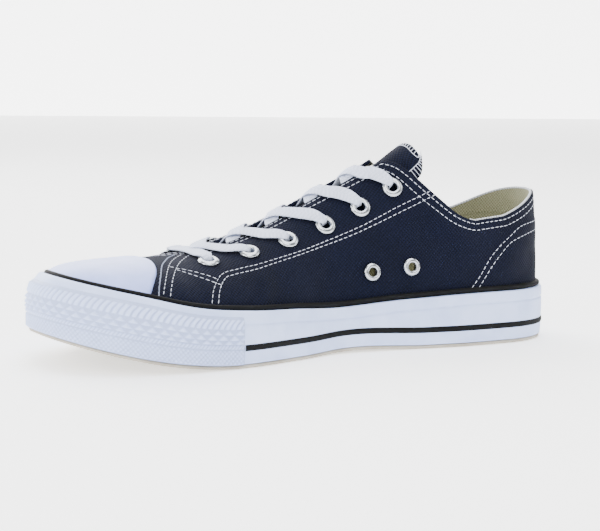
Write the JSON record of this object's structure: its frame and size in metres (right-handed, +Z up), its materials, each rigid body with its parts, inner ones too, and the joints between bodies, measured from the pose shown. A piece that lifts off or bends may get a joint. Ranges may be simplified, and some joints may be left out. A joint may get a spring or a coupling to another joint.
{
  "type": "canvas sneaker",
  "caption": "Low-cut canvas sneaker for the right foot: hollow upper, tongue, metal eyelets and flat lacing on a rubber sole with foxing band, toe cap and toe bumper.",
  "frame": {"origin": "on the floor, under the middle of the shoe's length and width", "axes": "+X to the toe, +Y to the medial side, +Z up"},
  "size_m": [0.28, 0.1041, 0.0997],
  "materials": {
    "canvas": "matte woven cotton",
    "rubber": "satin",
    "outsole_rubber": "matt",
    "black_rubber": "satin",
    "lining": "matte woven cotton",
    "eyelet_metal": "polished",
    "lace_cotton": "matte braid"
  },
  "bodies": {
    "root": {"outsole": "outsole_rubber", "foxing": "rubber", "foxing_bead": "black_rubber", "toe_bumper": "rubber", "toe_cap": "rubber", "upper": "canvas", "tongue": "canvas", "insole": "lining", "lace_eyelet_medial_1": "eyelet_metal", "lace_eyelet_medial_2": "eyelet_metal", "lace_eyelet_medial_3": "eyelet_metal", "lace_eyelet_medial_4": "eyelet_metal", "lace_eyelet_medial_5": "eyelet_metal", "lace_eyelet_medial_6": "eyelet_metal", "lace_eyelet_lateral_1": "eyelet_metal", "lace_eyelet_lateral_2": "eyelet_metal", "lace_eyelet_lateral_3": "eyelet_metal", "lace_eyelet_lateral_4": "eyelet_metal", "lace_eyelet_lateral_5": "eyelet_metal", "lace_eyelet_lateral_6": "eyelet_metal", "vent_eyelet_medial_1": "eyelet_metal", "vent_eyelet_medial_2": "eyelet_metal", "lace_bar": "lace_cotton", "lace_crossing_1": "lace_cotton", "lace_crossing_2": "lace_cotton", "lace_crossing_3": "lace_cotton", "lace_crossing_4": "lace_cotton", "lace_crossing_5": "lace_cotton"}
  },
  "joints": []
}
